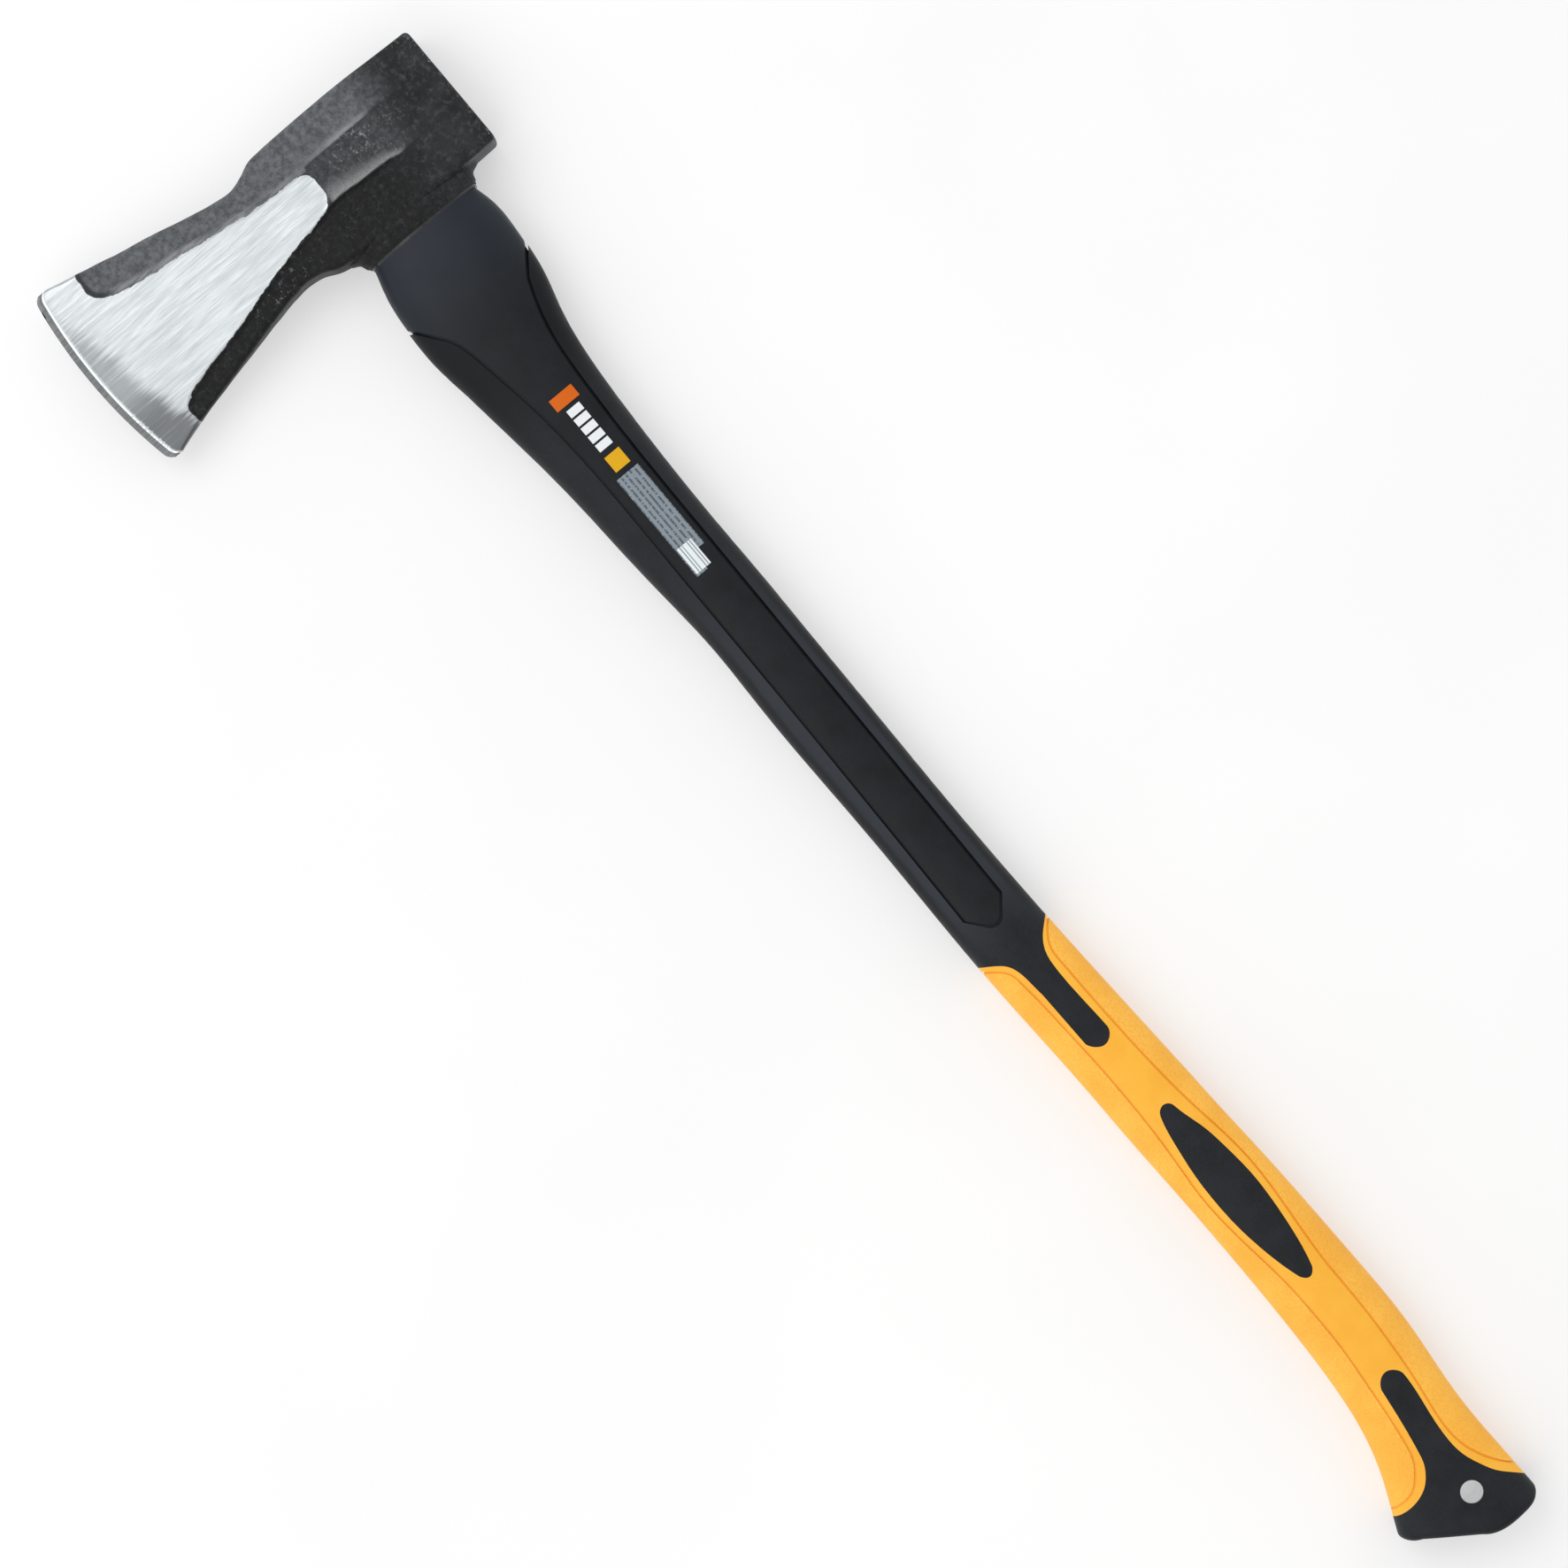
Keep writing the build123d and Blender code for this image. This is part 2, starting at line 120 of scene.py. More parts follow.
def inside(line, s, y):
    """Even-odd test of many points against a closed line."""
    hit = np.zeros(np.shape(s), bool)
    closed = np.vstack([line, line[:1]])
    for (s0, y0), (s1, y1) in zip(closed[:-1], closed[1:]):
        cross = (y0 > y) != (y1 > y)
        with np.errstate(divide="ignore", invalid="ignore"):
            at = (s1 - s0) * (y - y0) / (y1 - y0 + 1e-12) + s0
        hit ^= cross & (s < at)
    return hit


def signed(line, s, y):
    """Distance to a closed line, positive inside."""
    closed = np.vstack([line, line[:1]])
    d = distance(closed, s, y)
    return np.where(inside(line, s, y), d, -d)


def lumps(points, scale, octaves=3):
    """Smooth fixed noise, about -1 to 1, at many points given in mm."""
    out = np.empty(len(points))
    for k, p in enumerate(points):
        out[k] = noise.fractal(Vector(p) / scale, 0.9, 2.0, octaves)
    return out


def link(name, verts, faces):
    """Mesh object from row-frame points."""
    mesh = bpy.data.meshes.new(name)
    mesh.from_pydata([tuple(map(float, v)) for v in verts], [], [tuple(f) for f in faces])
    mesh.validate()
    mesh.update()
    obj = bpy.data.objects.new(name, mesh)
    bpy.context.scene.collection.objects.link(obj)
    mesh.polygons.foreach_set("use_smooth", np.ones(len(mesh.polygons), bool))
    mesh.set_sharp_from_angle(angle=CREASE)
    return obj


def set_attribute(obj, name, values):
    """One number for each vertex, for a material to read."""
    layer = obj.data.attributes.new(name, "FLOAT", "POINT")
    layer.data.foreach_set("value", np.asarray(values, np.float32))


def coordinates(obj):
    """Vertices as an array of row-frame points."""
    co = np.zeros(len(obj.data.vertices) * 3)
    obj.data.vertices.foreach_get("co", co)
    return co.reshape(-1, 3)


# ------------------------------------------------------------------ forged head
CREST = 174.8                        # mm, middle of the cutting edge
EDGE_RADIUS = 262.0
EDGE_MIDDLE = -47.5
EDGE_ENDS = (-96.9, 6.4)             # stations of the toe and the heel
TIP_MIDDLE = -45.2                   # halfway between the two ends of the edge
TIP_START = 47.2                     # the tips round off this far from that middle
TIP_RADIUS = 5.0
BIT_START = 140.0                    # from here on the sections follow the curved edge

# Outline and half thickness of the head at places from the poll to the edge, in mm
STATION = [-53.6, -34.0, -14.0, 8.0, 28.0, 39.0, 47.0, 54.0, 62.0, 72.0, 88.0, 105.0, 122.0, 140.0,
           150.0, 158.0, 164.0, 169.0, 174.8]
TOP = [-78.6, -79.3, -80.3, -80.6, -80.4, -80.2, -79.5, -76.6, -74.4, -75.4, -78.9, -83.3, -87.0, -91.4,
       -93.4, -95.0, -96.1, -96.8, -96.7]
BOTTOM = [-10.5, -10.0, -9.4, -9.2, -9.3, -9.9, -11.6, -14.7, -16.0, -15.1, -11.9, -8.0, -4.2, 0.0,
          2.4, 4.3, 5.6, 6.5, 6.5]
GROUND = [18.0, 19.2, 19.6, 19.6, 19.6, 18.9, 17.9, 16.8, 15.6, 14.2, 12.2, 10.1, 8.0, 5.7,
          4.4, 3.4, 2.7, 2.0, 0.22]
EDGE_THICK = [17.7, 18.3, 17.5, 16.6, 15.7, 14.7, 13.8, 12.9, 12.0, 10.9, 9.1, 7.2, 5.3, 3.7,
              3.7, 3.1, 2.5, 1.85, 0.2]

# Edge of the sunken forged bands, seen from the side: the bands lie outside these lines
UPPER_BAND = rounded_line([
    (-58.6, -60.0), (-59.0, -30.0), (-59.2, 0.0), (-59.0, 27.0), (-59.4, 45.0), (-60.8, 60.0),
    (-63.2, 75.0), (-65.8, 90.0), (-68.2, 105.0), (-70.2, 120.0), (-73.2, 134.0), (-76.0, 141.5),
    (-79.0, 145.4), (-83.5, 146.6), (-90.0, 146.3), (-97.0, 143.5), (-104.0, 140.0)])
LOWER_BAND = rounded_line([
    (-36.6, -60.0), (-35.6, -30.0), (-34.6, -14.0), (-36.0, -6.0), (-36.6, 10.0), (-37.5, 20.0),
    (-37.2, 27.0), (-35.2, 37.0), (-32.6, 50.0), (-31.0, 60.0), (-27.6, 75.0), (-23.8, 90.0),
    (-19.9, 105.0), (-16.8, 120.0), (-13.6, 134.0), (-11.0, 141.5), (-7.6, 145.6), (-3.0, 146.4),
    (2.0, 145.2), (9.0, 142.0)])
UPPER_REGION = np.vstack([UPPER_BAND, [(-120.0, 120.0), (-120.0, -60.0)]])
LOWER_REGION = np.vstack([LOWER_BAND, [(30.0, 120.0), (30.0, -60.0)]])
BAND_STEP = 1.15                     # mm, how deep the bands are sunk
GROUND_START = 27.0                  # mm, where the ground cheek begins
GROUND_CORNER = 8.0
GROUND_DEPTH = 0.22                  # mm of steel taken off by grinding
LAND = 1.5                           # mm of forged skin left between the upper band and the ground cheek

# Corners and side walls of the head's sections, in mm
POLL_ROUND = 2.4
UPPER_CORNER = 2.1
LOWER_CORNER = 3.4
WALL_BOW = 0.35

# Forged collar under the head: place, reach toward the edge, reach toward the back, half thickness
COLLAR = [
    (-15.0, 42.6, -41.0, 16.8),
    (-10.0, 41.8, -40.4, 17.1),
    (-8.6, 40.6, -39.0, 17.3),
    (-7.9, 39.0, -37.2, 17.4),
    (-7.2, 37.7, -35.5, 17.35),
    (-6.4, 37.0, -34.6, 17.2),
    (-5.0, 36.4, -33.9, 17.05),
    (-3.8, 36.0, -33.6, 16.95),
    (-3.1, 35.7, -33.4, 16.9),
    (-2.8, 35.3, -33.1, 16.8),
    (-2.4, 34.8, -32.6, 16.7),
    (-1.6, 34.5, -32.4, 16.6)]
COLLAR_POWER = 2.6
# Eye through the head: place, half length, half width
EYE = [
    (-92.0, 30.9, 14.5),
    (-78.6, 29.5, 13.4),
    (-60.0, 28.7, 13.0),
    (-40.0, 28.05, 12.65),
    (6.0, 28.05, 12.65)]
EYE_MIDDLE = 1.2
EYE_POWER = 2.3


def edge_line(s):
    """y of the cutting edge at a station s, with rounded tips."""
    bow = EDGE_RADIUS - np.sqrt(EDGE_RADIUS**2 - (s - EDGE_MIDDLE)**2)
    over = np.clip(np.abs(s - TIP_MIDDLE) - TIP_START, 0.0, 0.97 * TIP_RADIUS)
    return CREST - bow - (TIP_RADIUS - np.sqrt(np.clip(TIP_RADIUS**2 - over**2, 0, None)))


def to_edge(s, y):
    """Distance from points on the head to the cutting edge."""
    return edge_line(np.clip(s, *EDGE_ENDS)) - y


def depth_to_y(s, depth):
    """Section depth (straight near the poll, bowed near the edge) to y."""
    t = np.clip((depth - BIT_START) / (CREST - BIT_START), 0.0, 1.0)
    bent = BIT_START + t * (edge_line(s) - BIT_START)
    return np.where(depth <= BIT_START, depth, bent)


def ground_mark(s, y):
    """Distance inside the ground cheek, negative on the black forged skin."""
    up = -signed(UPPER_REGION, s, y) - LAND * smooth(24.0, 32.0, y)
    low = -signed(LOWER_REGION, s, y)
    side = np.minimum(up, low)
    end = y - GROUND_START + 0.006 * (s + 48.0)**2
    r = GROUND_CORNER
    corner = r - np.hypot(np.clip(r - side, 0, None), np.clip(r - end, 0, None))
    return np.where((side < r) & (end < r), corner, np.minimum(side, end))


def cheek_height(s, y, depth):
    """Half thickness of the head over the side view."""
    level = spline(STATION, GROUND, depth)
    rim = spline(STATION, EDGE_THICK, depth)
    top = spline(STATION, TOP, depth)
    bottom = spline(STATION, BOTTOM, depth)
    up = signed(UPPER_REGION, s, y)
    low = signed(LOWER_REGION, s, y)
    step = BAND_STEP * smooth(-30.0, 6.0, y)
    total = np.clip(level - rim, 0.05, None)
    width_up = np.clip(-top + spline([-60, 60, 146], [-59.0, -60.8, -80.0], y), 6.0, None)
    width_low = np.clip(bottom - spline([-60, 60, 146], [-36.0, -31.0, -8.0], y), 5.0, None)
    drop_up = step * smooth(-0.6, 2.6, up) + np.clip(total - step, 0, None) * np.clip(up / width_up, 0, 1)
    drop_low = step * smooth(-0.6, 2.6, low) + np.clip(total - step, 0, None) * np.clip(low / width_low, 0, 1)
    crown = 0.00022 * (s - EDGE_MIDDLE)**2 * smooth(100, 165, depth)
    ground = GROUND_DEPTH * smooth(-0.3, 0.5, ground_mark(s, y)) * smooth(150, 60, depth)
    return np.clip(level - np.maximum(drop_up, drop_low) - crown - ground, 0.14, None)


def oval_ring(s, middle, reach, half, power, count):
    """Ring across the handle line: an oval that gets squarer with its power."""
    angle = np.linspace(0, 2 * math.pi, count, endpoint=False)
    c, d = np.cos(angle), np.sin(angle)
    y = middle + reach * np.sign(c) * np.abs(c) ** (2 / power)
    z = half * np.sign(d) * np.abs(d) ** (2 / power)
    return to_row(np.full(count, s), y, z)


def tube_mesh(name, rings):
    """Closed solid from a stack of rings with equal point counts."""
    count = len(rings[0])
    verts = np.vstack(rings)
    faces = []
    for k in range(len(rings) - 1):
        for j in range(count):
            n = (j + 1) % count
            faces.append((k * count + j, k * count + n, (k + 1) * count + n, (k + 1) * count + j))
    faces.append(tuple(range(count))[::-1])
    faces.append(tuple(range((len(rings) - 1) * count, len(rings) * count)))
    return link(name, verts, faces)


def head_loop(depth, inset):
    """One closed section of the head, from the top edge over the upper cheek and back."""
    across = 96
    top = float(spline(STATION, TOP, depth)) + inset
    bottom = float(spline(STATION, BOTTOM, depth)) - inset
    rim = float(spline(STATION, EDGE_THICK, depth))
    up_corner = min(UPPER_CORNER, 0.62 * rim)
    low_corner = min(LOWER_CORNER, 0.62 * rim)
    s = np.linspace(top + up_corner, bottom - low_corner, across)
    d = np.full(across, depth)
    z = cheek_height(s, depth_to_y(s, d), d) - inset
    bow = WALL_BOW * min(1.0, rim / 12.0)
    angles = np.radians([15.0, 30.0, 45.0, 60.0, 75.0])
    walls = np.linspace(1.0, -1.0, 9)

    def side(z_edge, limit, sign, corner):
        """Corner arc, bowed wall and corner arc again at one end of the section."""
        flat_z = max(z_edge - corner, 0.02)
        arc_s = limit - sign * corner * (1 - np.sin(angles))
        arc_z = flat_z + corner * np.cos(angles)
        wall_s = limit + sign * bow * (1 - walls**2)
        wall_z = flat_z * walls
        return arc_s, arc_z, wall_s, wall_z

    low_s, low_z, low_ws, low_wz = side(z[-1], bottom, 1.0, low_corner)
    up_s, up_z, up_ws, up_wz = side(z[0], top, -1.0, up_corner)
    loop_s = np.concatenate([s, low_s, low_ws, low_s[::-1], s[::-1], up_s, up_ws[::-1], up_s[::-1]])
    loop_z = np.concatenate([z, low_z, low_wz, -low_z[::-1], -z[::-1], -up_z, up_wz[::-1], up_z[::-1]])
    return loop_s, depth_to_y(loop_s, np.full(len(loop_s), depth)), loop_z


def section_depths():
    """Depth and inset of every section: a rounded poll, even steps, and close steps at the edge."""
    turn = np.radians([0, 18, 36, 54, 72, 90])
    poll = [(POLL_Y + POLL_ROUND * (1 - math.cos(a)), POLL_ROUND * (1 - math.sin(a))) for a in turn]
    rest = np.concatenate([np.arange(POLL_Y + POLL_ROUND + 1.0, BIT_START, 1.15),
                           np.arange(BIT_START, 168.0, 1.0),
                           [168.6, 169.4, 170.2, 171.0, 171.6, 172.4, 173.2, 174.0, 174.5, CREST]])
    return poll + [(d, 0.0) for d in rest]


def forged_surface(s, y, z):
    """The same points with the shallow dents of the forge skin."""
    points = np.stack([s, y, z], axis=1)
    dents = lumps(points, 16.0) * 0.28 + lumps(points + 50.0, 4.5) * 0.12
    dents *= smooth(0.4, -1.2, ground_mark(s, y)) * smooth(172.0, 150.0, y)
    z = z + np.sign(z) * np.minimum(dents, 0.0) * smooth(0.5, 4.0, np.abs(z))
    on_wall = np.abs(z) < spline(STATION, EDGE_THICK, y) * 0.8
    s = s + np.where(on_wall, np.sign(s - EDGE_MIDDLE) * dents * 0.6, 0.0)
    y = y + np.where(y < POLL_Y + 0.3, np.abs(dents) * 0.4, 0.0)
    return s, y, z


def joined(body, *steps):
    """Runs boolean steps on a body and removes the tools they used."""
    for tool, mode in steps:
        step = body.modifiers.new("shape", "BOOLEAN")
        step.operation = mode
        step.solver = "EXACT"
        step.object = tool
    view = bpy.context.evaluated_depsgraph_get()
    mesh = bpy.data.meshes.new_from_object(body.evaluated_get(view))
    body.modifiers.clear()
    body.data = mesh
    for tool, _ in steps:
        bpy.data.objects.remove(tool)
    mesh.polygons.foreach_set("use_smooth", np.ones(len(mesh.polygons), bool))
    mesh.set_sharp_from_angle(angle=HEAD_CREASE)


def build_head():
    rows = [head_loop(depth, inset) for depth, inset in section_depths()]
    count = len(rows[0][0])
    s, y, z = forged_surface(*(np.concatenate([row[k] for row in rows]) for k in range(3)))
    faces = []
    for k in range(len(rows) - 1):
        for j in range(count):
            n = (j + 1) % count
            faces.append((k * count + j, (k + 1) * count + j, (k + 1) * count + n, k * count + n))
    faces.append(tuple(range(count)))
    faces.append(tuple(range((len(rows) - 1) * count, len(rows) * count))[::-1])
    body = link("forged_head", to_row(s, y, z), faces)
    collar = tube_mesh("collar_form", [
        oval_ring(at, (front + back) / 2, (front - back) / 2, half, COLLAR_POWER, 120)
        for at, front, back, half in COLLAR])
    eye = tube_mesh("eye_form", [
        oval_ring(at, EYE_MIDDLE, reach, half, EYE_POWER, 96) for at, reach, half in EYE])
    joined(body, (collar, "UNION"), (eye, "DIFFERENCE"))
    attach(body, "root")
    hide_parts("axe_head")
    return body


def tones(head):
    """Where the head is ground or rubbed, and where light, shade and reflections are painted on it, worked
    out from its shape.
    """
    s, y, _ = to_axe(coordinates(head))
    up = signed(UPPER_REGION, s, y)
    low = signed(LOWER_REGION, s, y)
    from_edge = to_edge(s, y)
    set_attribute(head, "ground", np.clip(ground_mark(s, y), -8, 8))
    set_attribute(head, "to_edge", np.clip(from_edge, -1, 60))

    # painted light on the upper band, which faces the lamp, and more faintly on the ridge; painted shade on
    # the lower band, which faces away
    band = smooth(-0.5, 2.0, up) * smooth(-34.0, -6.0, y)
    ridge = smooth(0.5, -1.5, up) * smooth(0.5, -1.5, low) * smooth(-30.0, -10.0, y)
    set_attribute(head, "upper_painted_light", np.maximum(0.9 * band, 0.3 * ridge))
    set_attribute(head, "lower_painted_shade", smooth(-0.2, 0.6, low) * smooth(-30.0, 4.0, y) * 0.9)

    # painted highlight on the fillet between the ridge or the ground cheek and the sunken upper band
    reach = spline([-16.0, 10.0, 28.0, 146.0], [5.0, 5.0, 3.4, 3.2], y)
    amount = spline([-16.0, -6.0, 8.0, 20.0, 34.0, 70.0, 146.0], [0.0, 0.85, 0.9, 0.45, 0.6, 0.85, 0.75], y)
    start = np.where(y > 28.0, -2.2, -0.3)
    across = smooth(start, start + 0.8, up) * smooth(reach, 0.6, up)
    along = smooth(-16.0, -10.0, y) * smooth(142.0, 134.0, y)
    set_attribute(head, "fillet_highlight", across * along * np.clip(amount, 0, 1))

    # painted reflection along the hollow strip under the ridge, which ends sharply at a crease with a painted
    # shadow
    width = spline([-16.0, -6.0, 10.0, 28.0], [3.0, 5.5, 9.0, 11.5], y)
    across = np.clip(1.0 + low / width, 0, 1) ** 1.4 * smooth(0.3, -0.4, low)
    set_attribute(head, "strip_reflection", across * smooth(-18.0, -12.0, y) * smooth(27.8, 26.2, y))
    # painted shadow in the crease below the strip
    across = smooth(-0.1, 0.5, low) * smooth(3.0, 0.8, low)
    set_attribute(head, "crease_shadow", 0.75 * across * smooth(-14.0, -4.0, y) * smooth(44.0, 30.0, y))

    # painted highlight where the underside wall rounds off, beside the poll and in a thin line further on
    beyond = s - spline(STATION, BOTTOM, np.clip(y, POLL_Y, 174.0))
    across = smooth(-1.2, -0.3, beyond) * smooth(0.45, 0.1, np.abs(beyond - 0.3) - 0.4)
    along = 0.85 * smooth(-30.0, -37.0, y) + 0.4 * smooth(44.0, 52.0, y)
    set_attribute(head, "wall_highlight", across * along)

    # rubbed spots: the ridge, the end of the strip, the lower band, the rims of the poll
    rub = 0.08 + np.exp(-((s + 52.0) / 9.0) ** 2 - ((y + 2.0) / 15.0) ** 2)
    rub += 0.8 * np.exp(-((s + 38.0) / 3.5) ** 2 - ((y + 15.0) / 5.0) ** 2)
    rub += 0.5 * np.exp(-((s + 20.0) / 6.0) ** 2) * smooth(50.0, 62.0, y) * smooth(100.0, 80.0, y)
    rub += 0.9 * smooth(POLL_Y + 2.6, POLL_Y + 0.6, y) * smooth(POLL_Y, POLL_Y + 0.4, y)
    rub += 0.8 * smooth(-68.0, -78.0, s) * smooth(-38.0, -50.0, y)
    rub += smooth(-15.0, -12.0, s) * smooth(-50.0, -52.5, y)
    set_attribute(head, "rub_tone", np.clip(rub, 0.0, 1.0))

    # painted dark reflection in grey streaks behind the edge, faint at the toe and full at the heel
    reach = spline([-97.0, -80.0, -50.0, -20.0, -10.0, 6.0], [7.0, 8.0, 16.0, 18.5, 20.5, 27.0], s)
    amount = spline([-97.0, -80.0, -60.0, -45.0, -25.0, -14.0, 6.0],
                    [0.25, 0.45, 0.84, 0.9, 0.94, 1.0, 1.0], s)
    across = smooth(reach + 9.0, reach - 7.0, from_edge) * smooth(4.2, 5.6, from_edge)
    set_attribute(head, "bit_reflection", amount * across)
    set_attribute(head, "heel_tone", smooth(-36.0, -12.0, s))


# ------------------------------------------------------------------ materials
def srgb(r, g, b):
    """Display values 0-255 to linear colour."""
    out = []
    for c in (r, g, b):
        c /= 255.0
        out.append(c / 12.92 if c <= 0.04045 else ((c + 0.055) / 1.055) ** 2.4)
    return (*out, 1.0)


class Look:
    """A node material built step by step."""

    def __init__(self, name, roughness=0.5, metallic=0.0, specular=0.5):
        self.material = bpy.data.materials.new(name)
        self.material.use_nodes = True
        self.tree = self.material.node_tree
        self.shader = self.tree.nodes["Principled BSDF"]
        self.shader.inputs["Roughness"].default_value = roughness
        self.shader.inputs["Metallic"].default_value = metallic
        self.shader.inputs["Specular IOR Level"].default_value = specular
        self.place = self.tree.nodes.new("ShaderNodeTexCoord").outputs["Object"]

    def node(self, kind, **values):
        """New node with some of its settings."""
        made = self.tree.nodes.new(kind)
        for key, value in values.items():
            setattr(made, key, value)
        return made

    def plug(self, value, socket):
        """Links a socket to another one, or sets its plain value."""
        if isinstance(value, bpy.types.NodeSocket):
            self.tree.links.new(value, socket)
        else:
            socket.default_value = value

    def attribute(self, name):
        """Number that set_attribute left on the mesh."""
        return self.node("ShaderNodeAttribute", attribute_name=name).outputs["Fac"]

    def stretched(self, x, y, z):
        """Object coordinates scaled along the row axes."""
        made = self.node("ShaderNodeMapping")
        self.plug(self.place, made.inputs["Vector"])
        made.inputs["Scale"].default_value = (x, y, z)
        return made.outputs["Vector"]

    def axis(self, vector, name):
        """One component of a vector."""
        made = self.node("ShaderNodeSeparateXYZ")
        self.plug(vector, made.inputs[0])
        return made.outputs[name]

    def noise(self, scale, detail=3.0, rough=0.55, at=None):
        """Cloudy noise, about 0.2 to 0.8."""
        made = self.node("ShaderNodeTexNoise")
        self.plug(self.place if at is None else at, made.inputs["Vector"])
        made.inputs["Scale"].default_value = scale
        made.inputs["Detail"].default_value = detail
        made.inputs["Roughness"].default_value = rough
        return made.outputs["Fac"]

    def cells(self, scale):
        """Distance to the middle of the nearest cell."""
        made = self.node("ShaderNodeTexVoronoi", feature="F1")
        self.plug(self.place, made.inputs["Vector"])
        made.inputs["Scale"].default_value = scale
        return made.outputs["Distance"]

    def calc(self, operation, a, b=0.0, c=None):
        """One step of arithmetic."""
        made = self.node("ShaderNodeMath", operation=operation)
        self.plug(a, made.inputs[0])
        self.plug(b, made.inputs[1])
        if c is not None:
            self.plug(c, made.inputs[2])
        return made.outputs[0]

    def step(self, value, low, high, to_low=0.0, to_high=1.0):
        """Smooth ramp of a value between two limits."""
        made = self.node("ShaderNodeMapRange", interpolation_type="SMOOTHSTEP")
        self.plug(value, made.inputs["Value"])
        made.inputs["From Min"].default_value = low
        made.inputs["From Max"].default_value = high
        made.inputs["To Min"].default_value = to_low
        made.inputs["To Max"].default_value = to_high
        return made.outputs["Result"]

    def times(self, *values):
        """Product of several values."""
        product = values[0]
        for value in values[1:]:
            product = self.calc("MULTIPLY", product, value)
        return product

    def mix(self, factor, a, b):
        """Colour a where the factor is 0, colour b where it is 1."""
        made = self.node("ShaderNodeMix", data_type="RGBA")
        self.plug(factor, made.inputs[0])
        self.plug(a, made.inputs[6])
        self.plug(b, made.inputs[7])
        return made.outputs[2]

    def bump(self, height, depth_mm, strength=1.0, under=None):
        """Relief of a given depth, on top of another relief if there is one."""
        made = self.node("ShaderNodeBump")
        self.plug(height, made.inputs["Height"])
        made.inputs["Distance"].default_value = depth_mm * MM
        made.inputs["Strength"].default_value = strength
        if under is not None:
            self.plug(under, made.inputs["Normal"])
        return made.outputs["Normal"]

    def finish(self, color=None, roughness=None, metallic=None, normal=None):
        """Connects what was built to the shader and hands over the material."""
        for name, value in (("Base Color", color), ("Roughness", roughness), ("Metallic", metallic),
                            ("Normal", normal)):
            if value is not None:
                self.plug(value, self.shader.inputs[name])
        return self.material


def forge_skin(look, clouds):
    """Colour of the black forge skin: cloudy scale, painted light on the upper band and painted shade on the
    lower band, painted highlights and reflections on the fillets, the strip and the underside wall, a painted
    shadow in the crease, rubs, scratches.
    """
    scale = look.noise(330.0, 4.0, 0.6)
    grain = look.noise(1100.0, 3.0, 0.6)
    drawn = look.noise(1.0, 4.0, 0.65, look.stretched(420.0, 70.0, 200.0))
    specks = look.noise(420.0, 5.0, 0.75)
    hairs = look.noise(1.0, 2.0, 0.5, look.stretched(60.0, 900.0, 900.0))

    skin = look.mix(look.step(clouds, 0.3, 0.7), srgb(20, 21, 23), srgb(42, 44, 46))
    skin = look.mix(look.step(scale, 0.48, 0.72, 0.0, 0.6), skin, srgb(70, 72, 75))
    # painted light: the upper band is paler because it faces the lamp
    pale = look.mix(look.step(scale, 0.3, 0.7), srgb(66, 68, 71), srgb(104, 107, 111))
    pale = look.mix(look.step(grain, 0.35, 0.75, 0.0, 0.35), pale, srgb(116, 119, 123))
    # painted shade: the lower band is darker because it faces away from the lamp
    dark = look.mix(look.step(scale, 0.35, 0.75), srgb(10, 10, 11), srgb(27, 28, 29))
    skin = look.mix(look.attribute("upper_painted_light"), skin, pale)
    skin = look.mix(look.attribute("lower_painted_shade"), skin, dark)
    # painted highlight along the fillets
    fillet = look.times(look.attribute("fillet_highlight"), look.step(drawn, 0.32, 0.62, 0.35, 1.0))
    skin = look.mix(fillet, skin, srgb(140, 142, 144))
    # painted reflection of the bright surroundings along the hollow strip
    strip = look.times(look.attribute("strip_reflection"), look.step(grain, 0.3, 0.6, 0.62, 1.0))
    skin = look.mix(strip, skin, srgb(146, 148, 150))
    # painted highlight on the rounded underside wall
    wall = look.times(look.attribute("wall_highlight"), look.step(scale, 0.25, 0.6, 0.6, 1.0))
    skin = look.mix(wall, skin, srgb(92, 94, 96))
    # painted shadow in the crease below the strip
    skin = look.mix(look.attribute("crease_shadow"), skin, srgb(8, 8, 9))
    rubs = look.times(look.step(specks, 0.55, 0.66), look.attribute("rub_tone"))
    skin = look.mix(rubs, skin, srgb(140, 142, 144))
    return look.mix(look.step(hairs, 0.735, 0.76, 0.0, 0.35), skin, srgb(120, 122, 124))


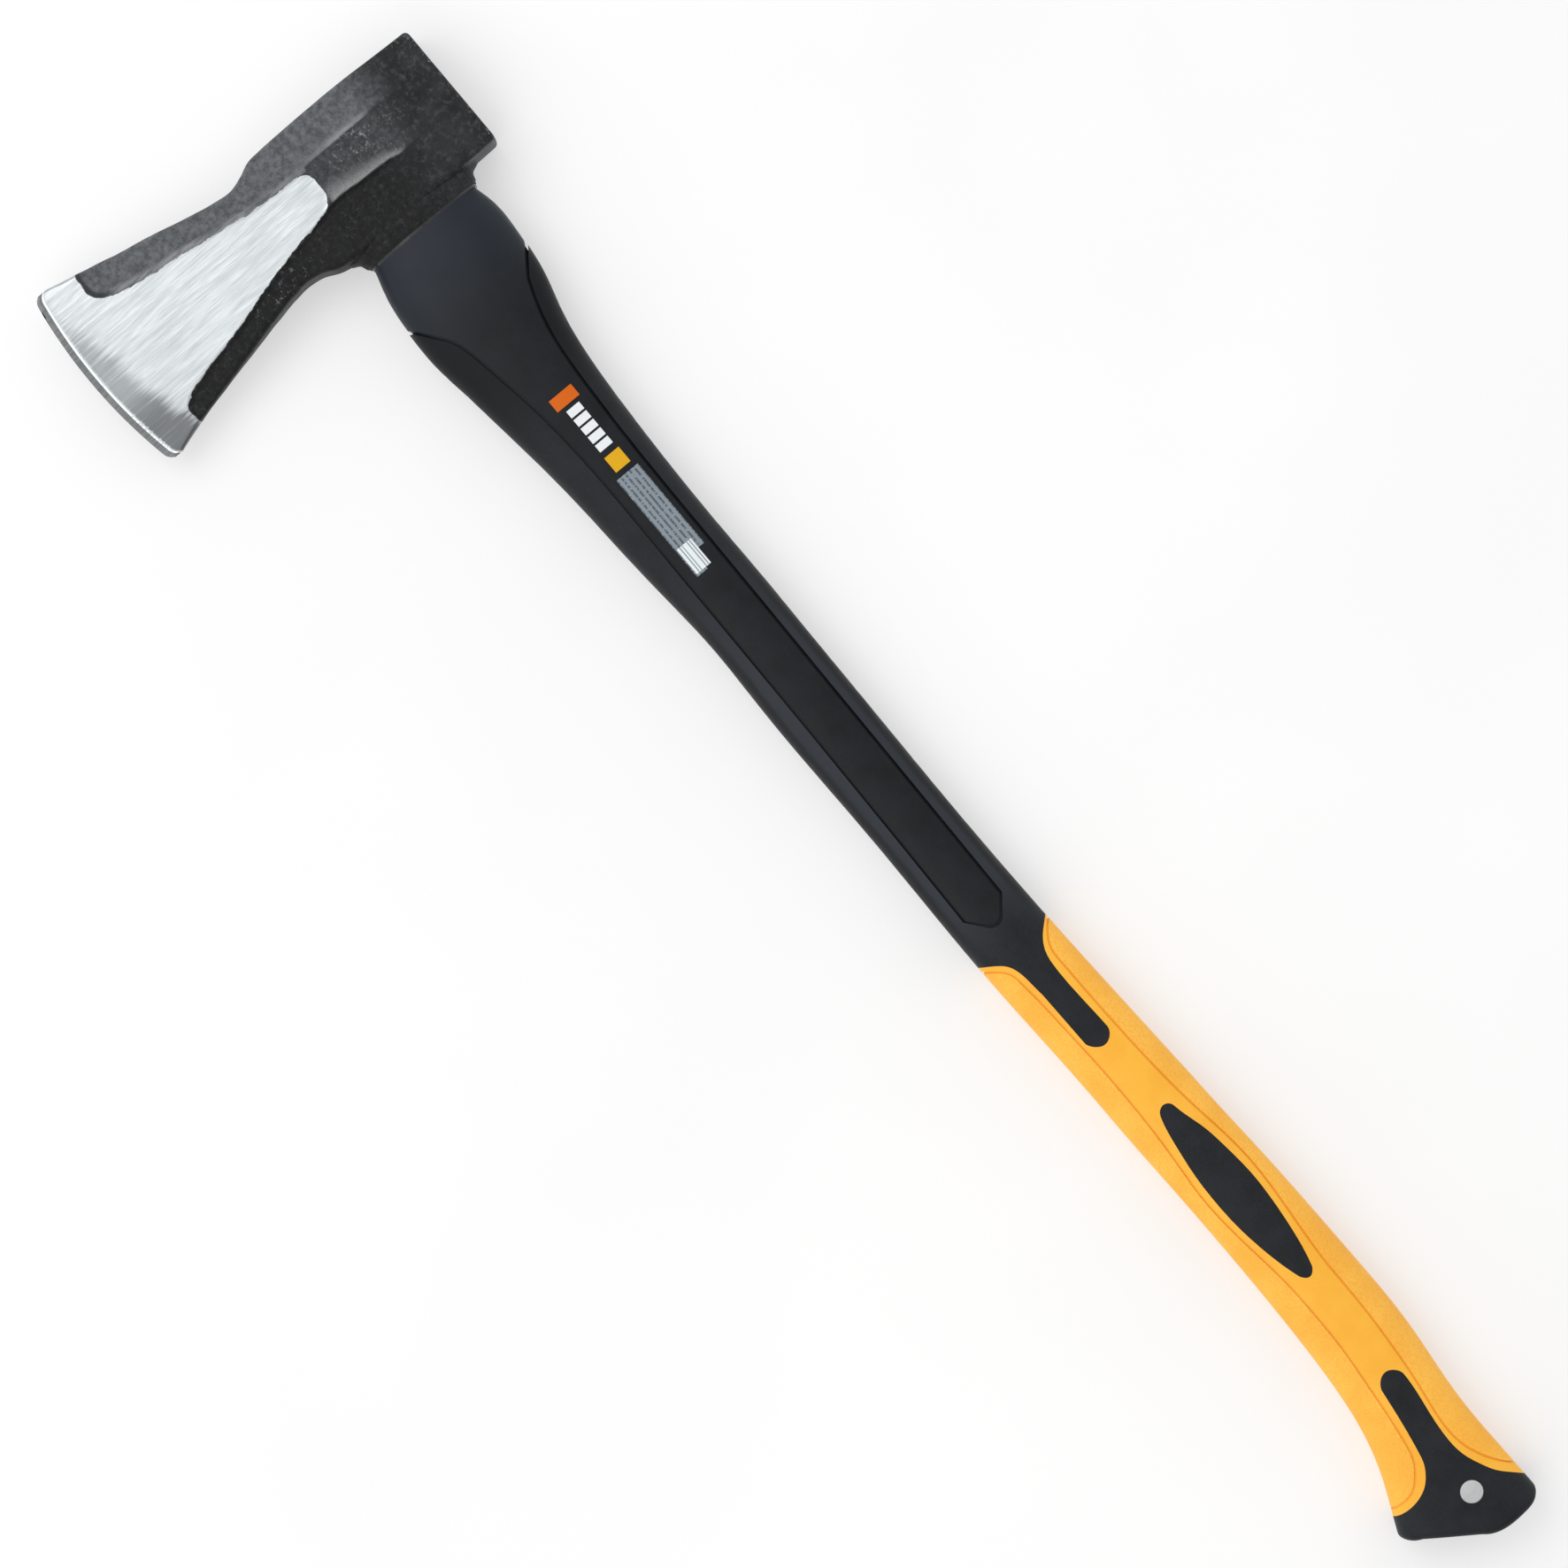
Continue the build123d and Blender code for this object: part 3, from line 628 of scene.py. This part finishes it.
def ground_steel(look, lines, broad):
    """Colour of the ground steel: brushing toward the edge, painted dark reflection in streaks on the bit,
    micro-bevel with a painted highlight along its inner rim.
    """
    steel = look.mix(look.step(lines, 0.25, 0.75), srgb(170, 175, 177), srgb(205, 209, 211))
    steel = look.mix(look.step(broad, 0.35, 0.7, 0.0, 0.3), steel, srgb(170, 176, 178))
    pits = look.step(look.noise(520.0, 3.0, 0.6), 0.70, 0.75, 0.0, 0.5)
    steel = look.mix(pits, steel, srgb(128, 133, 136))

    edge = look.attribute("to_edge")
    heel = look.attribute("heel_tone")
    streaks = look.noise(1.0, 3.0, 0.6, look.stretched(750.0, 30.0, 150.0))
    # painted dark reflection: grey streaks on the bit, darker toward the heel
    shade = look.calc("ADD", look.attribute("bit_reflection"), look.calc("MULTIPLY_ADD", streaks, 1.5, -0.75))
    grey = look.mix(heel, srgb(140, 144, 146), srgb(99, 101, 103))
    steel = look.mix(look.step(shade, 0.12, 0.95, 0.0, 0.92), steel, grey)
    bevel = look.mix(look.step(streaks, 0.3, 0.7), srgb(104, 107, 108), srgb(124, 127, 128))
    steel = look.mix(look.step(edge, 3.5, 3.0), steel, bevel)
    # painted highlight: a bright line where the micro-bevel meets the ground cheek
    broken = look.step(look.calc("MULTIPLY_ADD", heel, -0.16, streaks), 0.28, 0.42, 0.2, 1.0)
    bright = look.times(look.step(edge, 3.1, 3.4), look.step(edge, 4.5, 3.9), broken)
    return look.mix(bright, steel, srgb(244, 246, 247))


def head_look():
    """Black forge skin and bright ground steel in one material, with a ragged border."""
    look = Look("forged_and_ground_steel", specular=0.22)
    jag = look.calc("MULTIPLY_ADD", look.noise(900.0, 4.0), 0.7, -0.35)
    jag_wide = look.calc("MULTIPLY_ADD", look.noise(170.0, 3.0), 2.6, -1.3)
    ragged = look.calc("ADD", look.attribute("ground"), look.calc("ADD", jag, jag_wide))
    ground = look.step(ragged, -0.14, 0.14)
    clouds = look.noise(70.0, 5.0, 0.65)
    lines = look.noise(1.0, 4.0, 0.6, look.stretched(2300.0, 55.0, 400.0))
    broad = look.noise(1.0, 3.0, 0.5, look.stretched(420.0, 34.0, 80.0))
    color = look.mix(ground, forge_skin(look, clouds), ground_steel(look, lines, broad))

    forged = look.bump(look.noise(300.0, 6.0, 0.65), 0.8, 0.8)
    forged = look.bump(look.noise(1300.0, 3.0, 0.6), 0.12, 0.5, forged)
    relief = look.node("ShaderNodeMix", data_type="VECTOR")
    look.plug(ground, relief.inputs[0])
    look.plug(forged, relief.inputs[4])
    look.plug(look.bump(lines, 0.03, 0.5), relief.inputs[5])
    rough_steel = look.times(look.step(broad, 0.3, 0.7, 0.36, 0.46), ground)
    rough_skin = look.times(look.step(clouds, 0.3, 0.7, 0.5, 0.64), look.calc("SUBTRACT", 1.0, ground))
    rough = look.calc("ADD", rough_steel, rough_skin)
    return look.finish(color, rough, look.step(ground, 0.0, 1.0), relief.outputs[1])


def scaled(color, *shares):
    """A colour with its red, green and blue each multiplied by a share."""
    return (*(c * share for c, share in zip(color, shares)), 1.0)


def moulded(look, dark, light, grain, grain_mm, roughness):
    """Colour, roughness and surface of moulded plastic: faint clouds over a fine mould grain."""
    clouds = look.noise(60.0, 4.0, 0.6)
    speck = look.noise(grain, 2.0, 0.5)
    tone = look.calc("ADD", look.times(clouds, 0.6), look.times(speck, 0.4))
    color = look.mix(look.step(tone, 0.35, 0.65), dark, light)
    scuff = look.step(look.noise(1.0, 4.0, 0.7, look.stretched(30.0, 300.0, 300.0)), 0.62, 0.75, 0.0, 0.12)
    color = look.mix(scuff, color, scaled(light, 1.8, 1.8, 1.8))
    rough = look.step(clouds, 0.3, 0.7, roughness - 0.05, roughness + 0.06)
    return color, rough, look.bump(speck, grain_mm, 0.6)


def resin_look():
    """Glossy dark bonding resin."""
    look = Look("bonding_resin", specular=0.5)
    color, rough, surface = moulded(look, srgb(20, 20, 22), srgb(34, 34, 36), 400.0, 0.05, 0.18)
    return look.finish(color, rough, None, surface)


def sleeve_look():
    """Soft black, with painted highlights on the lips along the two rails, painted shade on their flanks and
    painted shade on the neck next to the head.
    """
    look = Look("soft_black", specular=0.17)
    color, rough, surface = moulded(look, srgb(26, 28, 31), srgb(36, 38, 42), 1300.0, 0.06, 0.5)
    x = look.axis(look.place, "X")
    facing = look.axis(look.node("ShaderNodeNewGeometry").outputs["Normal"], "Z")
    rails = look.times(look.step(x, row_x(453.9), row_x(413.9)), look.step(x, row_x(183.9), row_x(283.9)))
    # painted highlight on the rail lips that face up
    lips = look.times(rails, look.step(facing, 0.7, 0.88))
    # painted shade on the rail flanks that turn away
    flanks = look.times(rails, look.step(facing, 0.8, 0.6))
    # painted shade on the neck next to the head
    neck = look.step(x, row_x(133.9), row_x(73.9), 0.0, 0.8)
    color = look.mix(lips, color, srgb(45, 49, 55))
    color = look.mix(flanks, color, srgb(26, 27, 30))
    color = look.mix(neck, color, srgb(10, 12, 15))
    return look.finish(color, rough, None, surface)


def jacket_look():
    """Satin black with a blue cast, with painted light where it swells into the head."""
    look = Look("satin_black", specular=0.24)
    color, rough, surface = moulded(look, srgb(11, 14, 18), srgb(19, 23, 28), 1700.0, 0.04, 0.44)
    # painted light on the shoulder where it swells into the head
    shoulder = look.step(look.axis(look.place, "X"), row_x(63.9), row_x(13.9), 0.0, 0.75)
    color = look.mix(shoulder, color, srgb(29, 36, 46))
    return look.finish(color, rough, None, surface)


def grip_look(name, dark, light, grain, grain_mm, roughness, contrast):
    """Soft yellow-orange grip with painted shade in the pits between its grains."""
    look = Look(name, specular=0.32)
    clouds = look.noise(45.0, 3.0, 0.5)
    cells = look.cells(grain)
    color = look.mix(look.step(clouds, 0.35, 0.65), dark, light)
    # painted shade in the pits between the grains
    color = look.mix(look.step(cells, 0.0, 0.6, contrast, 0.0), color, scaled(dark, 0.86, 0.78, 0.6))
    rough = look.step(clouds, 0.3, 0.7, roughness - 0.04, roughness + 0.05)
    fine = look.bump(look.noise(grain * 1.7, 2.0, 0.5), grain_mm * 0.6, 0.7)
    return look.finish(color, rough, None, look.bump(cells, grain_mm, 0.8, fine))


def print_look(name, color, ink=None, pitch=0.0, breaks=(1.0, 1.0), share=0.5):
    """Printed foil, with optional plain ink lines standing in for print."""
    look = Look(name, roughness=0.38, specular=0.25)
    worn = look.noise(700.0, 4.0, 0.6)
    tone = look.mix(look.step(worn, 0.3, 0.7, 0.0, 0.25), color, scaled(color, 0.8, 0.8, 0.8))
    if ink is not None:
        wave = look.calc("FRACT", look.times(look.axis(look.place, "Y"), 1.0 / (pitch * MM)))
        broken = look.noise(1.0, 1.0, 0.5, look.stretched(*breaks, 1.0))
        line = look.times(look.step(wave, share, share + 0.08), look.step(broken, 0.40, 0.46), 0.75)
        tone = look.mix(line, tone, ink)
    rough = look.step(worn, 0.3, 0.7, 0.34, 0.46)
    return look.finish(tone, rough, None, look.bump(worn, 0.02, 0.4))


def eyelet_look():
    """Polished tube with faint drawing rings."""
    look = Look("drawn_tube", metallic=1.0)
    rings = look.noise(1.0, 3.0, 0.5, look.stretched(200.0, 200.0, 3000.0))
    color = look.mix(look.step(rings, 0.3, 0.7), srgb(240, 242, 244), srgb(250, 251, 252))
    return look.finish(color, look.step(rings, 0.3, 0.7, 0.1, 0.2), None, look.bump(rings, 0.02, 0.3))


def rod_look():
    """Cut end and flanks of a glass-fibre rod."""
    look = Look("pultruded_rod", roughness=0.4, specular=0.5)
    strands = look.noise(1.0, 3.0, 0.6, look.stretched(12.0, 1800.0, 1800.0))
    color = look.mix(look.step(strands, 0.3, 0.7), srgb(150, 142, 112), srgb(206, 198, 164))
    return look.finish(color, look.step(strands, 0.3, 0.7, 0.35, 0.55), None, look.bump(strands, 0.06, 0.6))


def floor_look():
    """Pale floor with a faint glow of its own, so that shadows on it stay light."""
    look = Look("pale_floor", roughness=0.75, specular=0.2)
    look.shader.inputs["Emission Color"].default_value = (1.0, 1.0, 1.0, 1.0)
    look.shader.inputs["Emission Strength"].default_value = 0.46
    clouds = look.noise(3.0, 3.0, 0.5)
    color = look.mix(look.step(clouds, 0.3, 0.7), (0.48, 0.48, 0.48, 1.0), (0.51, 0.51, 0.51, 1.0))
    return look.finish(color)


def cover(obj, *materials):
    """Gives an object these materials and no others."""
    obj.data.materials.clear()
    for material in materials:
        obj.data.materials.append(material)


# ------------------------------------------------------------------ grip with its two finishes
# Finish grooves in the axe's own frame, on the blade side and on the back
GROOVE_BLADE = [
    (451.0, 32.0), (453.6, 26.4), (458.6, 19.6), (462.6, 16.4), (469.6, 14.9), (479.6, 14.0), (499.0, 13.0),
    (519.0, 12.0), (549.0, 11.6), (569.0, 12.1), (589.0, 13.5), (604.0, 14.6), (618.5, 14.4), (638.5, 12.6),
    (653.5, 10.8), (668.5, 9.6), (688.0, 9.2), (708.0, 9.7), (723.0, 11.1), (743.0, 13.2), (758.0, 15.2),
    (766.0, 16.8), (772.0, 19.2), (776.0, 22.3), (780.8, 27.4), (782.8, 35.0), (782.2, 42.0), (780.0, 60.0)]
GROOVE_BACK = [
    (450.0, -22.0), (453.4, -15.6), (459.4, -10.0), (464.4, -7.4), (474.6, -6.6), (489.6, -6.8),
    (519.0, -7.6), (549.0, -9.2), (569.0, -11.2), (589.0, -13.9), (609.0, -15.2), (628.5, -14.4),
    (648.5, -12.6), (668.5, -11.3), (688.5, -11.3), (708.5, -10.7), (723.5, -9.6), (738.5, -8.2),
    (753.5, -5.9), (768.0, -4.4), (778.0, -5.2), (787.0, -8.2), (796.0, -13.2), (802.6, -18.6),
    (808.0, -40.0)]
GROOVE_HALF = 0.35                   # mm, half width of the groove


def build_grip():
    """The coloured layer with the grained zones outside the grooves marked by material."""
    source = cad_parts["grip_overmould"]
    grip = bpy.data.objects.new("soft_grip", source.data.copy())
    bpy.context.scene.collection.objects.link(grip)
    cover(grip,
          grip_look("grip_smooth", srgb(247, 176, 50), srgb(250, 183, 57), 1500.0, 0.03, 0.5, 0.22),
          grip_look("grip_grained", srgb(248, 178, 60), srgb(253, 188, 72), 800.0, 0.16, 0.62, 0.55))
    centres = np.array([p.center for p in grip.data.polygons])
    s, y, _ = to_axe(centres)
    blade_zone = np.vstack([rounded_line(GROOVE_BLADE, 3), [(440.0, 60.0)]])
    back_zone = np.vstack([rounded_line(GROOVE_BACK, 3), [(440.0, -40.0)]])
    grained = (signed(blade_zone, s, y) > GROOVE_HALF) | (signed(back_zone, s, y) > GROOVE_HALF)
    grip.data.polygons.foreach_set("material_index", grained.astype(np.int32))
    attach(grip, "root")
    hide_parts("grip_overmould")


# ------------------------------------------------------------------ camera, light, floor
VIEW_TURN = math.radians(50.0)       # the handle's line is turned this far in the view
VIEW_HEIGHT = 3.0                    # m above the middle plane of the head
VIEW_WIDTH = 0.7673                  # m seen across the picture at that distance
VIEW_MIDDLE = (320.5, 41.2)          # mm, the place under the camera
FILM_WIDTH = 36.0                    # mm
FLOOR_REACH = 6.0                    # m to each side
HEAD_CONTACT = 0.045                 # m from the handle end of the head's box to where the cheek rests
BUTT_CONTACT = 0.03                  # m from the hand end of the butt's box to where it rests
FLOOR_GAP = 0.0002                   # m between the floor and the cheek
LIGHT_SIZE = 2.4                     # m across
# Place in m and power in W of each lamp
LIGHTS = {"key": ((1.7, 0.5, 2.6), 26.0), "fill": ((-0.7, 1.6, 2.6), 16.0)}


def build_camera(scene):
    """Camera straight above the cheek, turned in its own plane."""
    across, down = math.cos(VIEW_TURN), math.sin(VIEW_TURN)
    aim = Vector(tuple(to_row(*VIEW_MIDDLE, 0.0)))
    data = bpy.data.cameras.new("camera")
    data.sensor_width = FILM_WIDTH
    data.lens = FILM_WIDTH * VIEW_HEIGHT / VIEW_WIDTH
    data.clip_start = 0.1
    data.clip_end = 50.0
    camera = bpy.data.objects.new("camera", data)
    scene.collection.objects.link(camera)
    camera.matrix_world = Matrix((
        (-across, down, 0.0, aim.x), (-down, -across, 0.0, aim.y), (0.0, 0.0, 1.0, aim.z + VIEW_HEIGHT),
        (0.0, 0.0, 0.0, 1.0)))
    scene.camera = camera


def build_floor():
    """Floor that touches both the cheek and the hand end."""
    butt_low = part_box("butt_cap")[0]
    rest_x = HEAD_LOW.x + HEAD_CONTACT
    slope = butt_low.z / (rest_x - butt_low.x - BUTT_CONTACT)
    corners = ((-FLOOR_REACH, -FLOOR_REACH), (FLOOR_REACH, -FLOOR_REACH),
               (FLOOR_REACH, FLOOR_REACH), (-FLOOR_REACH, FLOOR_REACH))
    floor = link("floor", [(x, y, -(x - rest_x) * slope - FLOOR_GAP) for x, y in corners], [(0, 1, 2, 3)])
    cover(floor, floor_look())


def build_lights(scene):
    """Two large soft lamps aimed just beside the middle of the axe."""
    for name, (place, power) in LIGHTS.items():
        data = bpy.data.lights.new(name, "AREA")
        data.shape = "DISK"
        data.size = LIGHT_SIZE
        data.energy = power
        lamp = bpy.data.objects.new(name, data)
        lamp.location = place
        lamp.rotation_mode = "QUATERNION"
        lamp.rotation_quaternion = (Vector((0.1, 0.0, 0.0)) - Vector(place)).to_track_quat("-Z", "Y")
        scene.collection.objects.link(lamp)


def build_world(scene):
    """White surroundings, weaker behind the hand end and stronger on both sides of the handle."""
    world = bpy.data.worlds.new("studio")
    world.use_nodes = True
    tree = world.node_tree

    def ramp(value, low, high, at_low, at_high):
        made = tree.nodes.new("ShaderNodeMapRange")
        made.interpolation_type = "SMOOTHSTEP"
        made.inputs["From Min"].default_value = low
        made.inputs["From Max"].default_value = high
        made.inputs["To Min"].default_value = at_low
        made.inputs["To Max"].default_value = at_high
        tree.links.new(value, made.inputs["Value"])
        return made.outputs["Result"]

    def calc(operation, *values):
        made = tree.nodes.new("ShaderNodeMath")
        made.operation = operation
        for value, socket in zip(values, made.inputs):
            tree.links.new(value, socket)
        return made.outputs[0]

    place = tree.nodes.new("ShaderNodeTexCoord")
    parts = tree.nodes.new("ShaderNodeSeparateXYZ")
    tree.links.new(place.outputs["Generated"], parts.inputs[0])
    along = ramp(parts.outputs["X"], -0.55, 0.6, 0.6, 1.0)
    beside = ramp(calc("ABSOLUTE", parts.outputs["Y"]), 0.35, 0.85, 0.78, 1.35)
    back = tree.nodes["Background"]
    back.inputs["Color"].default_value = (1.0, 1.0, 1.0, 1.0)
    tree.links.new(calc("MULTIPLY", along, beside), back.inputs["Strength"])
    scene.world = world


def build_stage():
    scene = bpy.context.scene
    build_camera(scene)
    build_floor()
    build_lights(scene)
    build_world(scene)
    scene.view_settings.view_transform = "Standard"


# ------------------------------------------------------------------ assembly
head = build_head()
tones(head)
cover(head, head_look())
build_grip()
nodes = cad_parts
cover(nodes["outer_sleeve"], sleeve_look())
cover(nodes["handle_jacket"], jacket_look())
cover(nodes["eye_resin"], resin_look())
cover(nodes["fibreglass_core"], rod_look())
cover(nodes["butt_cap"], nodes["outer_sleeve"].data.materials[0])
cover(nodes["hole_eyelet"], eyelet_look())
cover(nodes["print_weight_tag"], print_look("ink_orange", srgb(212, 98, 2)))
cover(nodes["print_name_bars"], print_look("ink_white", srgb(232, 236, 238)))
cover(nodes["print_colour_chip"], print_look("ink_yellow", srgb(222, 168, 12)))
cover(nodes["print_info_strip"], print_look(
    "ink_grey", srgb(133, 144, 153), srgb(60, 66, 72), pitch=2.7, breaks=(900.0, 260.0), share=0.55))
cover(nodes["print_code_patch"], print_look(
    "ink_patch", srgb(230, 237, 241), srgb(110, 116, 122), pitch=1.5, breaks=(1.0, 500.0)))
build_stage()
